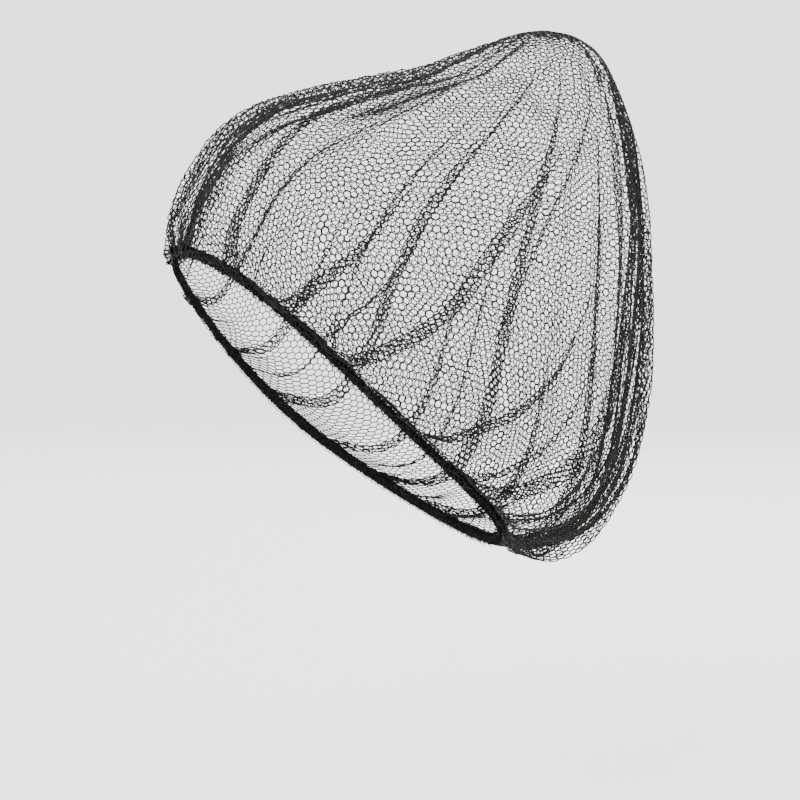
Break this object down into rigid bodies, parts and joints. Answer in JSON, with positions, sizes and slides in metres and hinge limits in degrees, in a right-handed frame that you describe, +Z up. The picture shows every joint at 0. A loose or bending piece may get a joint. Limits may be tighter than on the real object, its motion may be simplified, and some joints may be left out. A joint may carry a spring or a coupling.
{
  "type": "hairnet",
  "caption": "Fine black honeycomb net bag gathered on a covered elastic band, held in its worn form over a raised bulge at the top back.",
  "frame": {"origin": "centre of the elastic band's ring, where the head goes in", "axes": "+Z up, front towards -Y, the wearer's left towards +X"},
  "size_m": [0.1902, 0.2578, 0.2742],
  "materials": {
    "net_yarn": "fine twisted yarn, slightly glossy",
    "band_elastic": "matte knitted cover with short fuzz"
  },
  "bodies": {
    "root": {"net_bag": "net_yarn", "elastic_band": "band_elastic"}
  },
  "joints": []
}
